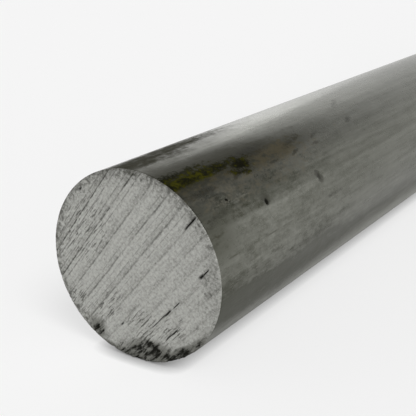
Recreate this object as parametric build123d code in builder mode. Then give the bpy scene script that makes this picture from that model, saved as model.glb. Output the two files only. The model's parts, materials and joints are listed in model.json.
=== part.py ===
# Round steel bar stock, sawn to length and lying on a level floor. Millimetres, +Z up.
#
# The bar lies along X, and the origin is on the floor under its middle. Its front end, at -X,
# was cut by a saw that ran a little out of square. Its back end, at +X, is square.

from build123d import *

import os
from math import hypot

# Driving dimensions
bar_diameter = 60.0
bar_length = 1000.0  # overall, from the furthest point of the front cut to the back cut
lean_at_top = 1.2  # how much further out the front cut stands at the top than at the bottom
lean_at_side = 0.9  # how much further out it stands on the +Y side than on the -Y side
arris_break = 0.4  # width taken off the sharp edge round each cut

# Worked out from them
bar_radius = bar_diameter / 2
front_lean = hypot(lean_at_top, lean_at_side)  # over the diameter, in its steepest direction
sawing_allowance = bar_radius  # spare stock beyond each cut, which the saw takes off

# The front cut crosses the bar's axis half of its lean short of its own furthest point
front_cut = Plane(
    origin=(-bar_length / 2 + front_lean / 2, 0, bar_radius),
    x_dir=(-lean_at_side, bar_diameter, 0),
    z_dir=(-bar_diameter, -lean_at_side, -lean_at_top),
)
back_cut = Plane(origin=(bar_length / 2, 0, bar_radius), z_dir=(1, 0, 0))

with BuildPart() as round_bar:
    # The rolled section stands upright at the middle of the bar, touching the floor, and
    # runs out both ways past the cuts
    with BuildSketch(Plane.YZ.shift_origin((0, 0, bar_radius))):
        Circle(bar_radius)
    extrude(amount=bar_length / 2 + sawing_allowance, both=True)

    # Each saw cut keeps the bar and drops the piece beyond it
    split(bisect_by=front_cut, keep=Keep.BOTTOM)
    split(bisect_by=back_cut, keep=Keep.BOTTOM)

    # The only edge that isn't round is the seam along the bar, which stays
    cut_edges = round_bar.edges().filter_by(GeomType.LINE, reverse=True)
    chamfer(cut_edges, length=arris_break)

round_bar.part.label = "round_bar"

os.makedirs("parts", exist_ok=True)
export_step(round_bar.part, "parts/round_bar.step")
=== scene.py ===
# %% [markdown]
# # A round steel bar
#
# The object is one piece of raw stock: a solid round bar of hot-rolled steel, sawn to length. What
# makes it look real is small. Its round side wears a dark satin skin from the rolling mill, and its
# sawn ends are bare metal with the marks of the blade on them. This lesson makes both as real
# relief on one closed mesh, with two materials that read the same patterns as the relief does.
#
# The first lines load the imported CAD model. The mounts in its record say where the bar is, so
# that nothing here is placed by eye.

# %% Load the frame
import json
from math import asin, atan2, cos, pi, radians, sin

import bmesh
import bpy
import numpy as np
from mathutils import Matrix, Vector


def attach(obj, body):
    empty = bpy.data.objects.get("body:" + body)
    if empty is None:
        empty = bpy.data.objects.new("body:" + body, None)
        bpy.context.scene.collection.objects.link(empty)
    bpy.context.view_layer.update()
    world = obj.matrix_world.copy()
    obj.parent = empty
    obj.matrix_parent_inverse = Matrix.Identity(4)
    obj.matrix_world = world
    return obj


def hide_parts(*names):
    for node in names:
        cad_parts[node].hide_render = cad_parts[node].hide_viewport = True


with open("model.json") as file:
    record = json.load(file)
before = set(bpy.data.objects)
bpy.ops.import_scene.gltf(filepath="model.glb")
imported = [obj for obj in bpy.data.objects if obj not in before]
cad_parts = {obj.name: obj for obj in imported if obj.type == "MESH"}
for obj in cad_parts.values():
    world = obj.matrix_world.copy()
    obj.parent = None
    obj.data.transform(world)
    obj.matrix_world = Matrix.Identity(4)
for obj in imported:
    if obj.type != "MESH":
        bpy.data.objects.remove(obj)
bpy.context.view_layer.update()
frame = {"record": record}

# %% [markdown]
# ## Sizes from the CAD
#
# The record lists the bar's faces as mounts, with their places and directions. The front cut leans
# a little, so its place and its outward direction are read from there. Lengths are in metres, and
# the patterns further on are laid out in bar radii, because a saw mark or a stain then keeps its
# place on a bar of another size.

# %% Read the sizes
mounts = {mount["name"]: mount for mount in frame["record"]["mounts"]}
radius = mounts["round"]["dims"]["r_mm"] / 1000
front_centre = Vector(mounts["front_cut"]["pos_m"])
front_normal = Vector(mounts["front_cut"]["axis"]).normalized()
back_centre = Vector(mounts["back_cut"]["pos_m"])
arris = 0.0004  # width of the broken edge round each cut
length = back_centre.x - front_centre.x
print(f"bar {2000 * radius:.0f} mm across and {1000 * length:.1f} mm long")
print(f"front cut at {front_centre[:]}")

# %% [markdown]
# ## Nodes as expressions
#
# The same patterns are needed twice: in Geometry Nodes, which carve them, and in the shaders, which
# colour them. Both kinds of tree have Math nodes and noise textures under the same names. A small
# class that stands for one output socket lets a pattern be written once, as ordinary arithmetic,
# and built in either tree.

# %% A node tree with one method that adds nodes
def socket_named(sockets, key):
    """The socket at a place, or the one in use under a name."""
    if isinstance(key, int):
        return sockets[key]
    return next(socket for socket in sockets if socket.name == key and socket.enabled)


class Graph:
    """A node tree."""

    def __init__(self, tree):
        self.tree = tree

    def node(self, kind, settings=None, sockets=None, output=0):
        """Adds a node, sets it up, fills or links its inputs and returns one of its outputs."""
        made = self.tree.nodes.new(kind)
        for name, setting in (settings or {}).items():
            setattr(made, name, setting)
        for key, value in (sockets or {}).items():
            socket = socket_named(made.inputs, key)
            if isinstance(value, Value):
                self.tree.links.new(value.socket, socket)
            else:
                socket.default_value = value
        return Value(self, socket_named(made.outputs, output)) if made.outputs else None

    def maths(self, operation, *operands):
        return self.node("ShaderNodeMath", {"operation": operation}, dict(enumerate(operands)))

    def xyz(self, x, y, z):
        return self.node("ShaderNodeCombineXYZ", sockets={0: x, 1: y, 2: z})

    def parts(self, vector):
        """The three numbers of a vector."""
        made = self.node("ShaderNodeSeparateXYZ", sockets={0: vector})
        return [Value(self, socket) for socket in made.socket.node.outputs]

    def noise(self, x, y, z=0.0, detail=2.0, roughness=0.5, seed=0.0):
        """Soft noise about 0.5. Its features are about 1 wide in x, y and z."""
        looks = {"W": seed, "Scale": 1.0, "Detail": detail, "Roughness": roughness}
        looks["Vector"] = self.xyz(x, y, z)
        return self.node("ShaderNodeTexNoise", {"noise_dimensions": "4D"}, looks)

    def chance(self, number):
        """A random number from 0 to 1 that goes with a whole number."""
        return self.node("ShaderNodeTexWhiteNoise", {"noise_dimensions": "1D"}, {"W": number})

    def blend(self, share, a, b):
        """Colour a, and b where share is 1."""
        colours = {"Factor": share, "A": a, "B": b}
        return self.node("ShaderNodeMix", {"data_type": "RGBA"}, colours, "Result")


# %% A socket that does arithmetic
class Value:
    """One output socket. Arithmetic on it adds Math nodes to its tree."""

    def __init__(self, graph, socket):
        self.graph = graph
        self.socket = socket

    def __add__(self, other):
        return self.graph.maths("ADD", self, other)

    def __radd__(self, other):
        return self.graph.maths("ADD", other, self)

    def __sub__(self, other):
        return self.graph.maths("SUBTRACT", self, other)

    def __rsub__(self, other):
        return self.graph.maths("SUBTRACT", other, self)

    def __mul__(self, other):
        return self.graph.maths("MULTIPLY", self, other)

    def __rmul__(self, other):
        return self.graph.maths("MULTIPLY", other, self)

    def __truediv__(self, other):
        return self.graph.maths("DIVIDE", self, other)

    def __rtruediv__(self, other):
        return self.graph.maths("DIVIDE", other, self)

    def __abs__(self):
        return self.graph.maths("ABSOLUTE", self)

    def root(self):
        return self.graph.maths("SQRT", self)

    def least(self, other):
        return self.graph.maths("MINIMUM", self, other)

    def most(self, other):
        return self.graph.maths("MAXIMUM", self, other)

    def rise(self, low, high):
        """0 below low and 1 above high, with a smooth step between. It falls where low > high."""
        return self.graph.node(
            "ShaderNodeMapRange",
            {"interpolation_type": "SMOOTHSTEP"},
            {"Value": self, "From Min": low, "From Max": high},
        )


def most_of(values):
    """The highest of several values."""
    highest = values[0]
    for value in values[1:]:
        highest = highest.most(value)
    return highest


# %% [markdown]
# ## The blank
#
# A bow saw or a small band saw swings on a pivot, so each mark on the cut is an arc about that
# pivot. Here it is low and to the left, seen from in front of the cut, some fifteen radii away.
# A mark is finer than half a millimetre and runs right across the cut, so the mesh of a cut has
# its rows along the arcs: close together across the marks, and far apart along them. A grid of
# squares as fine as that would need ten times the faces.

# %% Rows along the marks
MARKS_RISE = radians(50.2)  # how steeply the marks run, up to the right
PIVOT = 15.5  # radii from the middle of the cut to the saw's pivot


def mark_rows(rows, columns):
    """A unit disc with rows along the saw's arcs: its points, its faces, and its rim in order."""
    points = []
    for row in range(rows + 1):
        rise = pi * (row / rows - 0.5)
        swing = asin(sin(rise) / PIVOT)
        steps = [0] if row in (0, rows) else [2 * column / columns - 1 for column in range(columns + 1)]
        for step in steps:
            reach = PIVOT * cos(swing) + cos(rise) * step
            points.append((reach * cos(swing) - PIVOT, reach * sin(swing)))
    last = len(points) - 1
    starts = [1 + (row - 1) * (columns + 1) for row in range(1, rows)]
    faces = []
    for column in range(columns):
        faces.append((0, starts[0] + column + 1, starts[0] + column))
        faces.append((last, starts[-1] + column, starts[-1] + column + 1))
    for below, above in zip(starts, starts[1:]):
        for column in range(columns):
            faces.append((below + column, below + column + 1, above + column + 1, above + column))
    rim = [0] + [start + columns for start in starts] + [last] + starts[::-1]
    return points, faces, rim


# %% [markdown]
# The rows of a cut end on its rim, and the round side starts with one vertex for each of those
# ends. Its rings stand close together by the front cut, where the stains and small pits are. They
# thin out towards the back, and halve their number of vertices three times on the way. Just before
# the back cut it doubles twice again, to meet the rows of that cut.

# %% A web of vertices and faces
ROUND, FRONT, BACK = 0, 1, 2  # the part of the bar that a face is of


def front_x(y, z):
    """Where the leaning front plane is, over a point of the section."""
    tip = front_normal.y * (y - front_centre.y) + front_normal.z * (z - front_centre.z)
    return front_centre.x - tip / front_normal.x


def place(right, up, way):
    """A point from its place in the section, in radii seen from the front, and its way along."""
    y, z = -right * radius, (1 + up) * radius
    near = front_x(y, z)
    return near + way / length * (back_centre.x - near), y, z


class Web:
    """The blank as it grows."""

    def __init__(self):
        self.points, self.faces, self.part = [], [], []

    def add_points(self, points):
        start = len(self.points)
        self.points += points
        return list(range(start, len(self.points)))

    def add_faces(self, faces, part):
        self.faces += faces
        self.part += [part] * len(faces)

    def cut(self, rows, columns, way, part):
        """A sawn face, whose rim lies inside the broken edge. Returns the rim and its bearings."""
        disc, faces, rim = mark_rows(rows, columns)
        turn = Matrix.Rotation(MARKS_RISE, 2)
        spots = [turn @ Vector(spot) * (1 - arris / radius) for spot in disc]
        numbers = self.add_points([place(*spot, way) for spot in spots])
        self.add_faces([tuple(numbers[number] for number in face) for face in faces], part)
        bearings = [atan2(spots[number].y, spots[number].x) for number in rim]
        return [numbers[number] for number in rim], bearings

    def ring(self, bearings, size, way):
        return self.add_points([place(size * cos(a), size * sin(a), way) for a in bearings])

    def join(self, first, second, part):
        """Faces between two rings, one of which may have twice the vertices of the other."""
        many, few = (first, second) if len(first) >= len(second) else (second, first)
        ratio = len(many) // len(few)
        faces = []
        for step, d in enumerate(few):
            c = few[(step + 1) % len(few)]
            a, b = many[ratio * step], many[ratio * (step + 1) % len(many)]
            if ratio == 1:
                faces.append((a, b, c, d))
            else:
                middle = many[ratio * step + 1]
                faces += [(a, middle, d), (middle, b, c), (middle, c, d)]
        self.add_faces(faces, part)


# %% Grow the blank
FRONT_ROWS, FRONT_COLUMNS = 480, 60
BACK_ROWS, BACK_COLUMNS = 240, 36
STRETCHES = (  # of the round side: where it ends, in metres from the front cut, its ring spacing,
    # and how many vertices of the front rim there are to one of its own
    (0.003, 0.0005, 2),
    (0.1, 0.001, 4),
    (0.25, 0.0035, 8),
    (length - 0.004, 0.008, 8),
    (length - 0.002, 0.002, 4),
    (length - arris, 0.0016, 2),
)


def blank_bar():
    web = Web()
    ring, bearings = web.cut(FRONT_ROWS, FRONT_COLUMNS, 0.0, FRONT)

    def grow(thinning, size, way, part):
        after = web.ring(bearings[::thinning], size, way)
        web.join(ring, after, part)
        return after

    for step in (1, 2, 3):  # the broken edge, rounded off
        bend = step / 3 * pi / 2
        ring = grow(1, 1 - arris / radius * (1 - sin(bend)), arris * (1 - cos(bend)), FRONT)
    way = arris
    for end, spacing, thinning in STRETCHES:
        steps = max(1, round((end - way) / spacing))
        for step in range(1, steps + 1):
            ring = grow(thinning, 1.0, way + (end - way) * step / steps, ROUND)
        way = end
    ring = grow(2, 1 - arris / radius * 0.3, length - arris * 0.3, BACK)
    web.join(ring, web.cut(BACK_ROWS, BACK_COLUMNS, length, BACK)[0], BACK)
    return web


web = blank_bar()
print(f"blank of {len(web.points)} vertices and {len(web.faces)} faces")

# %% Make it a mesh
mesh = bpy.data.meshes.new("bar_blank")
mesh.from_pydata(web.points, [], web.faces)
mesh.attributes.new("part", "INT", "FACE").data.foreach_set("value", web.part)
shell = bmesh.new()
shell.from_mesh(mesh)
bmesh.ops.recalc_face_normals(shell, faces=shell.faces)
open_edges = sum(not edge.is_manifold for edge in shell.edges)
shell.to_mesh(mesh)
shell.free()
mesh.shade_smooth()
blank = bpy.data.objects.new("bar_blank", mesh)
bpy.context.scene.collection.objects.link(blank)
print(f"{open_edges} open edges, part numbers {sorted(set(web.part))}")

# %% [markdown]
# ## Where a point is on the bar
#
# Patterns need to know where they are. Seen from in front of the front cut, a point has a place to
# the right and up in the section, in radii. It also has its way along the bar, in radii from the
# front cut, and a bearing round the bar, in radians up from its right side. Noise that read the
# bearing would show a seam where it wraps, so noise reads the place in the section instead.

# %% A point's coordinates
class Spot:
    """A point on the bar, in radii, as values of a node tree."""

    def __init__(self, graph, position):
        x, y, z = graph.parts(position)
        self.graph = graph
        self.right = (y - front_centre.y) / -radius
        self.up = (z - front_centre.z) / radius
        lean_up, lean_right = front_normal.z / front_normal.x, front_normal.y / front_normal.x
        lean = self.up * lean_up - self.right * lean_right
        self.way = (x - front_centre.x) / radius + lean
        self.left_over = (back_centre.x - x) / radius
        self.out = (self.right * self.right + self.up * self.up).root()
        self.bearing = graph.maths("ARCTAN2", self.up, self.right)
        self.is_back = self.way.rise(2.0, 3.0)

    def lanes(self):
        """The place on a cut, as radii across the saw's arcs and along them."""
        along = self.right * cos(MARKS_RISE) + self.up * sin(MARKS_RISE) + PIVOT
        across = self.up * cos(MARKS_RISE) - self.right * sin(MARKS_RISE)
        reach = (along * along + across * across).root()
        return self.graph.maths("ARCTAN2", across, along) * PIVOT, reach - PIVOT


def blot(x, y, at, size, turn=0.0):
    """A soft oval: 1 in its middle, 0 on its edge and less than 0 outside it."""
    a, b = x - at[0], y - at[1]
    long = (a * cos(turn) + b * sin(turn)) / size[0]
    wide = (b * cos(turn) - a * sin(turn)) / size[1]
    return 1.0 - (long * long + wide * wide)


def patches(x, y, table):
    """Several soft ovals as one: each has its place, size, turn, and how much it stands out."""
    return most_of([blot(x, y, at, size, turn) + more for at, size, turn, more in table])


# %% [markdown]
# ## The saw's marks
#
# A saw leaves three kinds of mark. Every tooth scratches, which gives fine close lines. Every so
# often the blade jumps forward and bites, which leaves one deep line, and those lines lie a few
# millimetres apart, closer towards the end of the cut. Where the blade chatters there are short
# dashes as well. Nothing is perfectly even: a line fades and comes back.
#
# A Wave texture could draw lines like these, but they would be all alike. Here each line is counted
# instead: the place across the lanes becomes a number of lines, its whole part says which line it
# is, and that number picks the line's own luck from a table of chance.

# %% Lines, bites and dashes
SEED = 4.0
BACK_SEED = 11.0  # what is added to the seed on the back cut
LAST_CUT = 0.37  # where the cut was nearly through, in radii across the arcs
LINES, GAP = 5.38, 0.186  # lines to a radius there, and the gap between them
SPREAD = 0.364  # how fast they draw together on the way there
BUSY = (  # where the blade chattered: across and along the arcs, and how large
    ((0.66, -0.15), (0.30, 0.45)),
    ((-0.05, -0.60), (0.16, 0.26)),
    ((-0.47, -0.40), (0.22, 0.22)),
    ((-0.70, -0.15), (0.15, 0.22)),
    ((0.26, -0.86), (0.20, 0.20)),
)


def saw_lines(graph, across, along, seed):
    """The deep lines, 1 in their middle; how far a bite has risen to the next; and the scratches."""
    lane = across + (graph.noise(along * 1.1, across * 1.6, seed=seed) - 0.5) * 0.035
    # The lines are counted from where the cut was nearly through, and lie closer there
    gone = LAST_CUT - lane
    count = gone * LINES * (gone * (SPREAD / 2) + 1.0)
    line = graph.maths("ROUND", count)
    gap = GAP / (gone * SPREAD + 1.0)
    luck = graph.chance(line + seed)
    # Fine noise along the lanes: the tooth scratches
    chatter = graph.noise(along * 34.0, lane * 36.0, detail=3.0, roughness=0.7, seed=seed + 2.0)
    streak = graph.noise(along * 3.2, lane * 34.0, detail=2.0, roughness=0.6, seed=seed)
    # A line fades over long stretches, and breaks into dots
    faded = graph.noise(along * 2.4, line * 4.7, detail=3.0, roughness=0.6, seed=seed).rise(0.36, 0.56)
    faded = (faded + luck * 0.35).least(1.0) * 0.8 + 0.2
    dotted = graph.noise(along * 15.0, lane * 22.0, detail=3.0, roughness=0.6, seed=seed + 1.0)
    strength = (luck * 0.28 + lane * 0.80 + 0.30).least(0.9).most(0.12) * faded
    strength = strength * (dotted.rise(0.36, 0.56) * 0.75 + 0.25)
    off = abs(count - line) * gap + (chatter - 0.5) * 0.012
    deep = off.rise(0.016 - lane * 0.006, 0.002) * strength
    # Many lines have a fainter one beside them
    second = abs(off - 0.040 - luck * 0.02).rise(0.009, 0.001)
    second = second * strength * (luck + lane * 0.5 + 0.2).least(1.0)
    dash = graph.noise(along * 7.0, lane * 55.0, detail=2.0, roughness=0.6, seed=seed + 4.0)
    busy = most_of([blot(across, along, place, size) for place, size in BUSY])
    dash = dash.rise(0.51, 0.63) * (busy * 0.9 + 0.35).least(1.0).most(0.10)
    bite = graph.maths("FRACT", count).rise(0.45, 1.0) * (faded * 0.6 + 0.4)
    return most_of([deep, second * 0.65, dash * 0.8]), bite, streak * 0.2 + chatter * 0.8


print(f"lines about {GAP * radius * 1000:.1f} mm apart, {len(BUSY)} places where the blade chattered")

# %% [markdown]
# ## Slots and torn places
#
# A chip that catches under the blade tears a short deep slot along the marks. Where the blade
# breaks out through the rim it tears the steel in streaks, and oily dirt settles there. These are
# single events, so each one is listed, in radii, and noise frays its outline.

# %% Where the steel is torn
SLOTS = (  # across, along from, along to, half width
    (-0.128, 0.80, 0.98, 0.013),
    (-0.525, 0.55, 0.61, 0.022),
    (-0.527, 0.60, 0.69, 0.010),
    (-0.545, -0.30, -0.08, 0.006),
    (-0.550, -0.09, 0.01, 0.014),
    (-0.554, 0.07, 0.16, 0.008),
    (-0.730, -0.27, -0.13, 0.007),
    (-0.733, -0.17, -0.08, 0.013),
    (-0.295, -0.62, -0.59, 0.014),
    (0.918, 0.16, 0.19, 0.016),
)
TORN_RIM = (  # (bearing, radii out), size, turn, how much worse
    ((-1.02, 0.99), (0.40, 0.08), 0.0, 0.3),
    ((-1.62, 0.99), (0.24, 0.09), 0.0, 0.1),
    ((-1.90, 0.99), (0.16, 0.05), 0.0, -0.35),
)
TORN_INSIDE = (  # (right, up), size, turn, how much worse
    ((0.15, -0.88), (0.33, 0.14), radians(8), 0.05),
    ((0.21, -0.81), (0.12, 0.05), radians(-20), 0.5),
    ((0.34, -0.87), (0.10, 0.05), radians(30), 0.2),
    ((0.54, -0.77), (0.24, 0.05), radians(36), 0.1),
    ((-0.485, -0.785), (0.09, 0.07), radians(-40), 0.22),
    ((-0.975, 0.16), (0.025, 0.05), 0.0, -0.35),
    ((0.03, 0.97), (0.14, 0.04), 0.0, -0.65),
)


def gouges(across, along, frayed):
    """1 in the slots that caught chips have torn along the marks."""
    slots = []
    for lane, start, end, half in SLOTS:
        side = abs(across - lane + frayed * 0.02).rise(half, half * 0.2)
        ends = along.rise(start - 0.03, start + 0.02) * along.rise(end + 0.03, end - 0.02)
        slots.append(side * ends)
    return most_of(slots)


def torn_rim(spot):
    """How near a point is to the middle of a torn, dirty place on the rim."""
    on_rim = patches(spot.bearing, spot.out, TORN_RIM)
    return on_rim.most(patches(spot.right, spot.up, TORN_INSIDE)).most(-1.2)


print(f"{len(SLOTS)} slots, {len(TORN_RIM) + len(TORN_INSIDE)} torn places")

# %% [markdown]
# Both cuts have these marks. The front one is the one that the slots and torn places belong to. The
# back one is a plainer cut with lines of its own: its seed differs, so every noise does too.

# %% Everything on a cut
class CutMarks:
    """The marks on either cut, as values from 0 to 1."""

    def __init__(self, spot, seed):
        graph = spot.graph
        seed = spot.is_back * BACK_SEED + seed
        only_front = 1.0 - spot.is_back
        across, along = spot.lanes()
        self.deep, self.bite, self.fine = saw_lines(graph, across, along, seed)
        right, up = spot.right, spot.up
        self.clump = graph.noise(right * 7.0, up * 7.0, detail=4.0, roughness=0.6, seed=seed) - 0.5
        grit = graph.noise(along * 7.0, across * 30.0, detail=4.0, roughness=0.7, seed=seed) - 0.5
        ragged = self.clump * 1.2 + grit * 4.0
        self.gouge = gouges(across, along, self.clump) * only_front
        # The torn core, and the thin soot round it and further up the rim
        tear = torn_rim(spot)
        self.torn = (tear * 0.75 + ragged * 1.3).rise(0.25, 1.15) * only_front
        smear = blot(right, up, (-0.49, -0.76), (0.14, 0.13), radians(-35)) + ragged * 0.3
        self.soot = (tear + ragged * 0.4).rise(-0.55, 0.6).most(smear.rise(-0.3, 1.0)) * only_front
        # The rim is handled most: it is darker, with specks, mostly at its top and upper right.
        # Something struck it on the right and left a bruise.
        upper = up.most(0.0)
        handled = 0.70 - right * 0.15 + upper * 0.25 + upper * right.most(0.0)
        bruise = blot(right, up, (0.90, 0.08), (0.13, 0.30)).rise(0.0, 0.8) * only_front
        self.edge = (spot.out.rise(0.80, 1.0) * handled).most(bruise * 0.8)
        speckle = graph.noise(right * 21.0, up * 21.0, detail=3.0, roughness=0.6, seed=seed)
        self.worn = (speckle + self.edge * (0.17 - right * 0.05)).rise(0.58, 0.78)
        # The outermost line of the cut, where the blade turned up a thin burr
        self.burr = spot.out.rise(0.982, 0.995)


# %% [markdown]
# ## Pits in the skin
#
# On the round side a flake of scale has come out here and there and left a small pit. The two
# black ones are deep. The third is a shallow dent.

# %% Pits
PITS = (  # (way, bearing), size, depth
    ((1.10, 0.558), (0.040, 0.045), 1.0),
    ((0.54, 0.757), (0.022, 0.022), 1.0),
    ((2.24, 0.53), (0.05, 0.05), 0.4),
)


def pits(spot):
    ovals = [blot(spot.way, spot.bearing, at, size) * deep for at, size, deep in PITS]
    return most_of(ovals).rise(0.0, 0.8)


print(f"{len(PITS)} pits, the widest {PITS[0][1][0] * 2 * radius * 1000:.1f} mm long")

# %% [markdown]
# ## A tree that carves
#
# A displacement texture or a bump map could show the marks, but a bump leaves the outline smooth
# and a texture needs an image. Geometry Nodes moves every vertex instead, inwards by the depth of
# the marks at its place, so a mark is real relief and catches light from any side. Nothing moves
# outwards, so the bar keeps the size that the CAD gives it. The depths are inputs of the tree, and
# so are the two materials and the seed.

# %% Depths
DEPTHS = {  # metres
    "Line Depth": 0.00016,
    "Bite Depth": 0.00004,
    "Scratch Depth": 0.00006,
    "Gouge Depth": 0.0004,
    "Tear Depth": 0.0004,
    "Pit Depth": 0.0004,
}
print(f"deepest mark {max(DEPTHS.values()) * 1000} mm")


# %% Build the tree
def carving_tree():
    tree = bpy.data.node_groups.new("carve_bar", "GeometryNodeTree")
    graph = Graph(tree)
    inputs = {"Blank": "Geometry", **dict.fromkeys(("Seed", *DEPTHS), "Float")}
    inputs |= {"Rolled Skin": "Material", "Sawn Steel": "Material"}
    for name, kind in inputs.items():
        tree.interface.new_socket(name, in_out="INPUT", socket_type="NodeSocket" + kind)
    tree.interface.new_socket("Bar", in_out="OUTPUT", socket_type="NodeSocketGeometry")
    given = graph.node("NodeGroupInput").socket.node
    size = {socket.name: Value(graph, socket) for socket in given.outputs if socket.name}

    spot = Spot(graph, graph.node("GeometryNodeInputPosition"))
    marks = CutMarks(spot, size["Seed"])
    # The marks stop at the broken edges, and only a tear runs over the front one
    on_cut = spot.way.rise(0.014, 0.006).most(spot.left_over.rise(0.014, 0.006))
    near_front = spot.way.rise(0.12, 0.014)
    scratches = (0.6 - marks.fine).most(0.0) * 4.0
    cut = marks.deep * size["Line Depth"] + marks.bite * size["Bite Depth"]
    cut = cut + scratches * size["Scratch Depth"] + marks.gouge * size["Gouge Depth"]
    tear = marks.torn * (0.6 - marks.clump) * size["Tear Depth"]
    depth = cut * on_cut + tear * near_front + pits(spot) * (1.0 - on_cut) * size["Pit Depth"]

    inwards = {"Vector": graph.node("GeometryNodeInputNormal"), "Scale": depth * -1.0}
    move = graph.node("ShaderNodeVectorMath", {"operation": "SCALE"}, inwards)
    moved = {"Geometry": size["Blank"], "Offset": move}
    carved = graph.node("GeometryNodeSetPosition", sockets=moved)
    real = graph.node("GeometryNodeRealizeInstances", sockets={"Geometry": carved})
    skin = {"Geometry": real, "Material": size["Rolled Skin"]}
    skinned = graph.node("GeometryNodeSetMaterial", sockets=skin)
    # A face of part 1 or 2 is on a cut, and only part 0 keeps the rolled skin
    number, name = {"data_type": "INT"}, {"Name": "part"}
    part = graph.node("GeometryNodeInputNamedAttribute", number, name, "Attribute")
    sawn = {"Geometry": skinned, "Selection": part, "Material": size["Sawn Steel"]}
    graph.node("NodeGroupOutput", sockets={0: graph.node("GeometryNodeSetMaterial", sockets=sawn)})
    return tree


tree = carving_tree()
print(f"carving tree of {len(tree.nodes)} nodes")

# %% [markdown]
# ## Two finishes
#
# The bar has two surfaces, and each is one Principled shader. Its colour is laid on in the order
# in which the real one came about: the steel first, then what darkens it, then the dirt on top.
# Each layer is a mask made with the expressions above, and a Mix node that takes the layer's colour
# where the mask is 1. Clean steel is metallic. Dirt isn't, so the masks lower Metallic too.
#
# Both materials read Object coordinates, which on a bar at the origin are plain places in metres,
# the same that the carving tree reads. So the colour of a mark lies exactly in its groove.

# %% A material and its shader
def new_material(name):
    material = bpy.data.materials.new(name)
    material.use_nodes = True
    material.node_tree.nodes.clear()
    return material, Graph(material.node_tree)


def bar_spot(graph):
    return Spot(graph, graph.node("ShaderNodeTexCoord", output="Object"))


def steel_shader(graph, colour, metallic, roughness, height, relief):
    """A Principled shader. A height of 1 stands for the relief, in metres."""
    bump = graph.node("ShaderNodeBump", sockets={"Strength": 1.0, "Distance": relief, "Height": height})
    looks = {"Base Color": colour, "Metallic": metallic, "Roughness": roughness, "Normal": bump}
    # The dirt is dull, so what isn't metal mirrors little
    looks |= {"IOR": 1.3, "Specular IOR Level": 0.1}
    shader = graph.node("ShaderNodeBsdfPrincipled", sockets=looks)
    graph.node("ShaderNodeOutputMaterial", sockets={"Surface": shader})


# %% [markdown]
# ### Sawn steel
#
# A fresh cut is bright, but it isn't a mirror: thousands of scratches spread the light, so it looks
# pale grey and even. The scratches give it its grain. The lines collect a little dirt, and their
# grooves are painted darker still, as painted shade. Each bite is painted a little darker as it
# rises towards the next line, as painted shade on its tilted face. The torn places are nearly black.

# %% Sawn steel
DULL_STEEL, CLEAN_STEEL = (0.15, 0.15, 0.135, 1), (0.50, 0.502, 0.472, 1)
GRIME_AND_GROOVE_SHADE, SOOT = (0.030, 0.029, 0.022, 1), (0.075, 0.075, 0.060, 1)
BLACK_DIRT = (0.006, 0.006, 0.004, 1)
SCRATCH_RELIEF = 0.00012  # metres


def make_sawn_steel():
    material, graph = new_material("sawn_steel")
    spot = bar_spot(graph)
    marks = CutMarks(spot, SEED)
    # From dull at 0 to clean at 1. The cut is a little darker at its right and top.
    tone = 0.825 + (marks.fine - 0.5) * 2.5 + marks.clump * 0.4 - (spot.right + 0.2) * 0.035
    tone = tone - spot.right.rise(0.5, 0.9) * 0.09 - spot.up.rise(0.5, 0.9) * 0.08
    # Painted shade: each bite grows darker as it rises towards the next line, for the shade on its
    # tilted face.
    tone = tone - marks.edge * 0.14 - marks.bite * 0.20
    tone = tone - marks.burr * (0.25 - spot.right.rise(0.6, 0.9) * 0.30)
    colour = graph.blend(tone, DULL_STEEL, CLEAN_STEEL)
    # Painted shade and real grime: the saw lines are darker for the dirt in them and for the shade in
    # their grooves. The worn specks by the rim are darker too.
    groove_shade_grime_and_wear = (marks.deep * 0.9).most(marks.worn * 0.6)
    colour = graph.blend(groove_shade_grime_and_wear, colour, GRIME_AND_GROOVE_SHADE)
    colour = graph.blend(marks.soot * 0.65, colour, SOOT)
    crud = marks.torn.most(marks.gouge)
    colour = graph.blend(crud * 0.97, colour, BLACK_DIRT)
    metallic = 0.62 - crud * 0.55 - groove_shade_grime_and_wear * 0.3
    roughness = 0.52 + crud * 0.35 + groove_shade_grime_and_wear * 0.2 + (marks.fine - 0.5) * 0.3 + marks.burr * 0.2
    steel_shader(graph, colour, metallic, roughness, marks.fine, SCRATCH_RELIEF)
    return material


sawn_steel = make_sawn_steel()
print(f"{sawn_steel.name}: {len(sawn_steel.node_tree.nodes)} nodes")

# %% [markdown]
# ### The rolled skin
#
# Hot rolling leaves a thin dark skin that shines like satin. It has been drawn out along the bar,
# so its clouds and streaks are longer than they are wide. One noise can't look like that: it takes
# several, from clouds as wide as the bar down to a grain finer than a millimetre, and together
# they also fray the outline of every stain.

# %% Clouds, streaks and grain
class SkinPattern:
    """Noises over the skin, each from about -0.5 to 0.5."""

    def __init__(self, spot):
        self.spot = spot
        self.cloud = self.over(1.3, 2.6, detail=3.0, seed=3.0)
        self.mottle = self.over(4.5, 9.0, detail=4.0, roughness=0.62, seed=5.0)
        self.clots = self.over(10.0, 14.0, detail=3.0, roughness=0.6, seed=10.0)
        self.flecks = self.over(10.0, 22.0, detail=4.0, roughness=0.7, seed=9.0)
        self.grain = self.over(30.0, 38.0, detail=3.0, roughness=0.7, seed=6.0)
        self.drawn = self.over(0.5, 12.0, detail=3.0, seed=7.0)
        self.lines = self.over(2.5, 32.0, detail=2.0, seed=8.0)
        wide = self.cloud * 0.6 + self.mottle * 1.4 + self.drawn * 1.4
        self.ragged = wide + self.grain * 0.8 + self.lines * 0.9 + self.flecks * 1.6

    def over(self, lengthwise, across, **looks):
        """Noise with so many features to a radius along the bar, and so many over the section."""
        spot = self.spot
        place = spot.way * lengthwise, spot.right * across, spot.up * across
        return spot.graph.noise(*place, **looks) - 0.5


# %% The skin's tone, with painted shade and highlight
DARK_SKIN, BRIGHT_SKIN = (0.046, 0.047, 0.031, 1), (0.250, 0.253, 0.222, 1)
START_OVER = (-3.0, -1.8)  # bearings on the left side, close to where the bearing wraps


def down_right(spot, start, end):
    """Rises down the right side, and falls off again before the bearing starts over."""
    return spot.bearing.rise(start, end) * spot.bearing.rise(*START_OVER)


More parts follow.
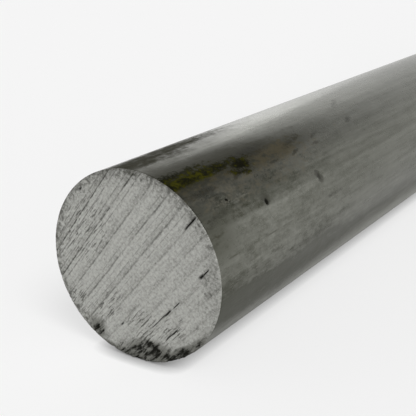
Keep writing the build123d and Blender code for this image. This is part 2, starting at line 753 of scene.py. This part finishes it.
def skin_tone_with_painted_light(spot, pattern):
    """Skin tone under the stains, with painted shade and highlight; calmer towards the back."""
    way, bearing = spot.way, spot.bearing
    near, far = way.rise(4.5, 0.6), way.rise(1.2, 4.0)
    calm = way.rise(0.8, 0.0) * 0.4
    tone = 0.44 + pattern.cloud * 0.5 + pattern.mottle * (0.4 + near * 0.7) * (1.0 - calm)
    tone = tone + pattern.drawn * 0.7 + pattern.lines * 0.45
    tone = tone + (pattern.grain * 0.7 + pattern.flecks * 1.0) * near * (1.0 - calm)
    # A lap from the rolls runs along the side: darker above it, and brighter just below it
    lap = bearing + pattern.cloud * 0.08 + pattern.mottle * 0.05
    above = lap.rise(0.505, 0.56) * bearing.rise(1.2, 0.7) * way.rise(8.0, 3.5)
    above = above * (0.7 + blot(way, bearing, (1.1, 0.6), (0.8, 0.3)).rise(-0.5, 0.5) * 0.5)
    rubbed = blot(way, bearing, (1.15, 0.44), (0.7, 0.12)).rise(0.0, 1.0)
    lip = abs(lap - 0.50).rise(0.03, 0.01) * blot(way, bearing, (1.6, 0.52), (1.0, 0.3)).rise(0.0, 0.5)
    tone = tone - above * 0.28 + rubbed * 0.10 + lip * 0.12
    # Painted shade, for the floor's shadow mirrored in the steel: towards the floor the skin is darker,
    # in a streaky band, and darker still down the right side and at the very bottom
    low = bearing + pattern.mottle * 0.25 + pattern.cloud * 0.3 + pattern.drawn * 0.2
    underside_shade = low.rise(0.12, -0.24) * low.rise(-0.62, -0.28)
    tone = tone - underside_shade * (0.80 - far * 0.50) - down_right(spot, 0.65, 0.20) * (0.03 + far * 0.16)
    tone = tone - down_right(spot, -0.2, -0.6) * (0.14 - far * 0.40)
    tone = tone - down_right(spot, -0.62, -0.76) * 0.4
    # Painted highlight: a broad patch along the top, and the upper side further back, are lighter in
    # colour, for the bright wall that the steel mirrors there.
    painted_sheen = blot(way, bearing, (3.6, 1.42), (2.2, 0.2)).rise(-0.5, 0.8)
    top_highlight = bearing.rise(0.95, 1.25) * bearing.rise(3.0, 1.8)
    tone = (tone + top_highlight * far * 0.08 + painted_sheen * 0.25 + 0.17) * 0.855
    return spot.graph.blend(tone, DARK_SKIN, BRIGHT_SKIN)


# %% [markdown]
# Behind the front cut the skin is stained. A dark shade, left by heat and oil, lies along the
# upper right, with pale brown dust over its lower part, and a few flecks there are rubbed bare. In
# its middle sits a thick crust, nearly black and olive, and a black film of oil lies along the top.
# Small spots lie about by themselves. Every patch has its middle at a way and a bearing: radii
# along the bar, and radians round it.

# %% Shade, dust, crust and film
SHADES = (  # (way, bearing), size, turn, how much darker
    ((0.4, 1.10), (2.8, 0.22), 0.0, 0.0),
    ((0.0, 1.20), (1.5, 0.19), 0.0, 0.9),
    ((0.3, 1.66), (1.9, 0.28), 0.06, 0.2),
    ((1.55, 1.05), (1.1, 0.17), 0.0, 0.30),
    ((1.2, 0.76), (0.60, 0.24), 0.0, -0.9),
    ((0.0, 0.72), (0.9, 0.30), 0.0, -0.8),
    ((0.0, 0.45), (0.6, 0.30), 0.0, -0.6),
    ((1.3, 1.16), (0.7, 0.10), 0.0, 0.6),
    ((-0.2, 1.42), (1.2, 0.30), 0.0, 0.1),
)
SPOTS = (  # small stains by themselves
    ((3.80, 1.28), (0.30, 0.05), 0.45, -0.5),
    ((3.65, 1.00), (0.12, 0.06), 0.2, -0.4),
    ((2.23, 0.56), (0.06, 0.05), 0.0, 0.1),
    ((2.27, 0.50), (0.07, 0.05), 0.0, 0.0),
    ((1.10, 0.60), (0.10, 0.08), 0.0, -0.4),
    ((1.38, 1.13), (0.35, 0.08), 0.0, 0.1),
    ((2.25, 1.04), (0.30, 0.05), 0.2, -0.2),
    ((2.12, 0.90), (0.10, 0.02), 0.2, 0.2),
    ((2.75, 1.01), (0.16, 0.04), 0.2, -0.4),
    ((2.62, 0.89), (0.12, 0.03), 0.0, -0.4),
    ((1.65, 0.90), (0.10, 0.02), 0.0, 0.2),
    ((1.00, 0.95), (0.16, 0.03), 0.3, 0.3),
    ((0.25, 0.92), (0.35, 0.05), 0.0, -0.2),
    ((0.25, 0.64), (0.35, 0.06), 0.2, -0.4),
    ((2.45, 0.28), (0.30, 0.03), 0.0, -0.5),
)
CRUSTS = (  # (way, bearing), size, turn, how much thicker
    ((0.15, 1.12), (1.00, 0.070), 0.0, 0.0),
    ((0.00, 1.18), (0.75, 0.09), 0.0, -0.4),
    ((1.15, 1.03), (0.16, 0.08), -0.2, -0.1),
    ((1.10, 0.95), (0.25, 0.06), -0.2, -0.7),
)
FAR_OFF = -1.5  # how low a patch sinks outside, so that noise alone can't make a stain there


class SkinDirt:
    """What lies on the skin, as masks from 0 to 1."""

    def __init__(self, spot, pattern):
        way, bearing = spot.way, spot.bearing
        ragged, mottle, grain = pattern.ragged, pattern.mottle, pattern.grain
        clots, flecks = pattern.clots, pattern.flecks
        shade = patches(way, bearing, SHADES).most(FAR_OFF) + ragged * 0.8
        self.shade = shade.rise(-0.3, 1.2)
        spots = patches(way, bearing, SPOTS).most(FAR_OFF) + ragged + grain * 2.0 + flecks * 2.0
        self.spots = spots.rise(-0.3, 1.0)
        dust = blot(way, bearing, (1.1, 0.90), (1.9, 0.28)).most(-1.0)
        dust = dust.most(blot(way, bearing, (1.9, 0.98), (0.6, 0.16)) + 0.6)
        dust = dust + mottle * 3.5 + clots * 3.5 + grain * 4.0 + flecks * 3.0
        self.dust = dust.rise(0.2, 1.8)
        rubbed = blot(way, bearing, (0.55, 0.73), (0.45, 0.12)).most(-1.0)
        self.bare = (rubbed + flecks * 5.0 + grain * 4.0).rise(0.9, 1.8)
        crust = patches(way, bearing, CRUSTS).most(FAR_OFF)
        self.crust = (crust + ragged + clots * 2.5 + grain * 2.2).rise(-0.75, 0.65)
        olive = clots * 3.0 + flecks * 1.5 + grain * 2.0
        olive = olive + blot(way, bearing, (0.40, 1.10), (0.32, 0.12)).most(-0.6) * 0.3
        self.olive = olive.rise(-0.25, 0.60) * bearing.rise(1.28, 1.18)
        film = blot(way, bearing, (0.35, 1.71), (1.35, 0.19), 0.07).most(FAR_OFF)
        self.film = (film + ragged + clots * 1.2).rise(-0.6, 1.3) * 0.93
        # One long scratch, where the bar was dragged over an edge
        self.scratch = abs(bearing - 0.252 + pattern.cloud * 0.012).rise(0.012, 0.003)
        self.scratch = self.scratch * way.rise(1.6, 1.3) * mottle.rise(-0.1, 0.08)
        self.pit = pits(spot)


print(f"{len(SHADES)} shades, {len(SPOTS)} small spots, {len(CRUSTS)} crusts")

# %% Rolled skin
SHADED, DUSTY = (0.025, 0.024, 0.009, 1), (0.100, 0.080, 0.046, 1)
STAINED, OILY = (0.018, 0.017, 0.009, 1), (0.022, 0.021, 0.010, 1)
BLACK_CRUST, OLIVE_CRUST = (0.003, 0.003, 0.0002, 1), (0.036, 0.035, 0.0004, 1)
SKIN_RELIEF = 0.00009  # metres


def make_rolled_skin():
    material, graph = new_material("rolled_skin")
    spot = bar_spot(graph)
    pattern = SkinPattern(spot)
    dirt = SkinDirt(spot, pattern)
    colour = skin_tone_with_painted_light(spot, pattern)
    colour = graph.blend((dirt.shade * 0.9).most(dirt.scratch * 0.5), colour, SHADED)
    colour = graph.blend(dirt.dust * 0.45, colour, DUSTY)
    colour = graph.blend(dirt.bare * 0.4, colour, BRIGHT_SKIN)
    colour = graph.blend(dirt.spots * 0.65, colour, STAINED)
    colour = graph.blend(dirt.film, colour, OILY)
    crust = graph.blend(dirt.olive, BLACK_CRUST, OLIVE_CRUST)
    colour = graph.blend(dirt.crust * 0.97, colour, crust)
    colour = graph.blend(dirt.pit, colour, BLACK_DIRT)
    thick = dirt.crust.most(dirt.pit).most(dirt.film)
    metallic = 0.9 - thick * 0.9 - (dirt.shade * 0.15 + dirt.dust * 0.35) * (1.0 - thick)
    metallic = metallic - down_right(spot, -0.64, -0.80) * 0.25
    roughness = 0.28 + thick * 0.4 + dirt.shade * 0.08 + dirt.dust * 0.1
    roughness = roughness + pattern.mottle * 0.15 + pattern.cloud * 0.08
    roughness = roughness + down_right(spot, -0.05, -0.4) * 0.2
    height = pattern.mottle * 0.6 + pattern.grain * 0.25 + pattern.cloud * 2.0 + pattern.lines * 0.3
    steel_shader(graph, colour, metallic, roughness, height, SKIN_RELIEF)
    return material


rolled_skin = make_rolled_skin()
print(f"{rolled_skin.name}: {len(rolled_skin.node_tree.nodes)} nodes")

# %% [markdown]
# ## Carve the blank
#
# The modifier's inputs are set by the identifier of their socket, because two sockets may share a
# name, and before the blank is first evaluated. Then the evaluated blank becomes a plain mesh. That
# mesh is the finished bar: one closed shell with no modifier left on it.

# %% Carve
def carve(blank):
    modifier = blank.modifiers.new("carve", "NODES")
    modifier.node_group = tree
    given = {"Seed": SEED, **DEPTHS, "Rolled Skin": rolled_skin, "Sawn Steel": sawn_steel}
    for item in tree.interface.items_tree:
        if item.in_out == "INPUT" and item.name in given:
            modifier[item.identifier] = given[item.name]
    evaluated = blank.evaluated_get(bpy.context.evaluated_depsgraph_get())
    mesh = bpy.data.meshes.new_from_object(evaluated)
    blank.modifiers.remove(modifier)
    return mesh


carved = carve(blank)
carved.name = "sawn_round_bar"
bar = bpy.data.objects.new("sawn_round_bar", carved)
bpy.context.scene.collection.objects.link(bar)
bpy.data.objects.remove(blank)
carved.calc_loop_triangles()
print(f"bar of {len(carved.loop_triangles)} triangles, finishes {[m.name for m in carved.materials]}")

# %% [markdown]
# ## A map for the bake
#
# When the bar is exported, its two finishes are baked into one square picture. An automatic map
# gives every part of the bar an equal share of it, and the cut, where the finest detail is, gets
# very little. So the bar brings a map of its own, under the name that the export looks for. The
# cuts lie flat in it, the front one large. The round side is unrolled in two pieces: the first
# quarter of a metre, which has the stains, gets over a third of the picture, and the calm rest
# lies below it. The seam of the unrolled side runs along the bottom of the bar.

# %% Lay out the map
STAINED_LENGTH = 0.25  # metres of the round side that get the larger piece
PIECES = {  # left, bottom, right and top of each piece in the unit square
    "stained side": (0.006, 0.352, 0.576, 0.994),
    "calm side": (0.006, 0.006, 0.994, 0.334),
    "front cut": (0.590, 0.590, 0.994, 0.994),
    "back cut": (0.665, 0.345, 0.905, 0.585),
}


def read_all(items, attribute, width, kind=float):
    flat = np.empty(len(items) * width, dtype=kind)
    items.foreach_get(attribute, flat)
    return flat.reshape(-1, width)


def unrolled(places):
    """How far round from the bottom and how far along each place is, and its place in the section."""
    right = (places[:, 1] - front_centre.y) / -radius
    up = (places[:, 2] - front_centre.z) / radius
    start = front_x(places[:, 1], places[:, 2])
    way = (places[:, 0] - start) / (back_centre.x - start) * length
    return np.arctan2(up, right) / (2 * pi) + 0.25, way, right, up


def lay_out(mesh):
    corners = read_all(mesh.polygons, "loop_total", 1, int)[:, 0]
    corner_face = np.repeat(np.arange(len(corners)), corners)
    corner_vertex = read_all(mesh.loops, "vertex_index", 1, int)[:, 0]
    turn, way, right, up = unrolled(read_all(mesh.vertices, "co", 3)[corner_vertex])
    middles = unrolled(read_all(mesh.polygons, "center", 3))
    face_turn, face_way = middles[0][corner_face], middles[1][corner_face]
    sawn = read_all(mesh.polygons, "material_index", 1, int)[:, 0][corner_face] == 1
    # A corner never lies more than half a turn from the middle of its face
    around = face_turn % 1.0 + (turn - face_turn + 0.5) % 1.0 - 0.5
    near = face_way < STAINED_LENGTH
    disc = ((right + 1) / 2, (up + 1) / 2)
    piece_of = {
        "stained side": (~sawn & near, around, way / STAINED_LENGTH),
        "calm side": (~sawn & ~near, (way - STAINED_LENGTH) / (length - STAINED_LENGTH), around),
        "front cut": (sawn & near, *disc),
        "back cut": (sawn & ~near, *disc),
    }
    layout = np.zeros((len(corner_face), 2))
    for name, (chosen, across, upwards) in piece_of.items():
        low_x, low_y, high_x, high_y = PIECES[name]
        layout[chosen, 0] = low_x + across[chosen] * (high_x - low_x)
        layout[chosen, 1] = low_y + upwards[chosen] * (high_y - low_y)
    mesh.uv_layers.new(name="OFBake").data.foreach_set("uv", layout.ravel())
    return layout


layout = lay_out(carved)
print(f"map of {len(layout)} corners, from {layout.min(axis=0)} to {layout.max(axis=0)}")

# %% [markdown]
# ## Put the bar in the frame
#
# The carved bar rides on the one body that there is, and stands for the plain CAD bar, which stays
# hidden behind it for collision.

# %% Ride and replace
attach(bar, "root")
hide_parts("round_bar")
print("bar rides on root and stands for round_bar")

# %% [markdown]
# ## The studio
#
# Dark satin steel shows what is around it more than its own colour. Here the walls are white, the
# ceiling is dim, and a pale floor takes a soft shadow. The top of the bar then mirrors the bright
# wall behind it, and a dark band runs below that, where the ceiling shows. A room of real walls
# could do this too, but a world is simpler: it is made by height above the horizon alone, with the
# ceiling a little higher on the left.

# %% World
WHITE = 0.905  # the pale surroundings, as a linear colour
CEILING = 0.16  # the dim ceiling, likewise
CEILING_EDGE = sin(radians(20)), sin(radians(39))  # the heights between which it dims


def studio_world():
    world = bpy.data.worlds.new("studio")
    world.use_nodes = True
    world.node_tree.nodes.clear()
    graph = Graph(world.node_tree)
    direction = graph.node("ShaderNodeTexCoord", output="Generated")
    across, height = graph.parts(direction)[1:]
    ceiling = (height - across.most(0.0) * 0.28).rise(*CEILING_EDGE)
    level = WHITE + (CEILING - WHITE) * ceiling
    shader = graph.node("ShaderNodeBackground", sockets={"Color": level, "Strength": 1.0})
    graph.node("ShaderNodeOutputWorld", sockets={"Surface": shader})
    bpy.context.scene.world = world


studio_world()
print(f"walls {WHITE}, ceiling {CEILING}")

# %% [markdown]
# The floor should look as pale as the walls and still take a shadow. If it were all paint, its
# paleness would hang on the lamps, and its shadow would be as deep as they are strong. So it is
# part paint and part glow. The glow is only for rays that look at the floor, straight or in the
# steel, so it adds no light to the bar. It stands for light from the wall beyond, which can't reach
# in close to the bar. An Ambient Occlusion node dims it there: it tries short rays round a
# direction that leans to the back, and sees how many of them the bar stops.

# %% Floor
PAINT, GLOW = 0.30, 0.637
CREVICE = 0.15  # how far from the bar the glow dims, in radii
LEAN = radians(50)  # how far the rays lean to the back
FLOOR_SIZE = 60.0  # metres


def pale_floor():
    bpy.ops.mesh.primitive_plane_add(size=FLOOR_SIZE, location=(0, 0, 0))
    floor = bpy.context.object
    floor.name = "floor"
    material, graph = new_material("pale_floor")
    path = "ShaderNodeLightPath"
    looking = graph.node(path, output="Is Camera Ray").most(graph.node(path, output="Is Glossy Ray"))
    beyond = graph.xyz(sin(LEAN), 0.0, cos(LEAN))
    rays = {"Distance": CREVICE * radius, "Normal": beyond}
    free = graph.node("ShaderNodeAmbientOcclusion", {"samples": 12}, rays, "AO")
    glow = graph.node("ShaderNodeEmission", sockets={"Color": looking * free, "Strength": GLOW})
    paint = graph.node("ShaderNodeBsdfDiffuse", sockets={"Color": (PAINT, PAINT, PAINT, 1)})
    both = graph.node("ShaderNodeAddShader", sockets={0: glow, 1: paint})
    graph.node("ShaderNodeOutputMaterial", sockets={"Surface": both})
    floor.data.materials.append(material)
    return floor


floor = pale_floor()
print(f"floor {floor.dimensions.x:.0f} m wide, paint {PAINT}, glow {GLOW}")

# %% [markdown]
# A sun lamp with a wide angle is as soft as a large lamp far away, and it lights both ends of a
# long bar alike. The key stands in front of the cut, to the right, so that the shadow falls behind
# the bar. The fill is low and in front. The rim stands behind and puts a soft gleam on the far edge.

# %% Lamps
def soft_sun(name, bearing, height, spread, strength):
    """A large soft lamp far away. It stands at a bearing from +X towards +Y, and at a height."""
    data = bpy.data.lights.new(name, "SUN")
    data.energy, data.angle = strength, radians(spread)
    lamp = bpy.data.objects.new(name, data)
    bearing, height = radians(bearing), radians(height)
    there = Vector((cos(bearing) * cos(height), sin(bearing) * cos(height), sin(height)))
    lamp.rotation_euler = there.to_track_quat("Z", "Y").to_euler()
    bpy.context.scene.collection.objects.link(lamp)
    print(f"{name} lamp, strength {strength}")


soft_sun("key", bearing=235, height=50, spread=30, strength=1.9)
soft_sun("fill", bearing=212, height=20, spread=40, strength=0.5)
soft_sun("rim", bearing=40, height=14, spread=28, strength=0.16)

# %% [markdown]
# ## The camera
#
# The camera stands in front of the cut, to its right and above it, and looks along the bar, so that
# the cut shows nearly whole and the round side runs away to the right. A short telephoto lens keeps
# the far end from shrinking much. Its place is given in radii from the middle of the cut.

# %% Camera
stand = Vector((-6.0782, -4.8471, 3.2923))
heading, dip = radians(33.218), radians(19.05)  # from +X towards +Y, and downwards
data = bpy.data.cameras.new("camera")
data.sensor_width, data.lens = 36.0, 74.85
data.clip_start, data.clip_end = 0.01, 100
camera = bpy.data.objects.new("camera", data)
camera.location = front_centre + stand * radius
aim = Vector((cos(heading) * cos(dip), sin(heading) * cos(dip), -sin(dip)))
camera.rotation_euler = aim.to_track_quat("-Z", "Y").to_euler()
bpy.context.scene.collection.objects.link(camera)
bpy.context.scene.camera = camera
bpy.context.scene.view_settings.view_transform = "Standard"
print(f"camera {(camera.location - front_centre).length:.3f} m from the cut, {data.lens} mm lens")
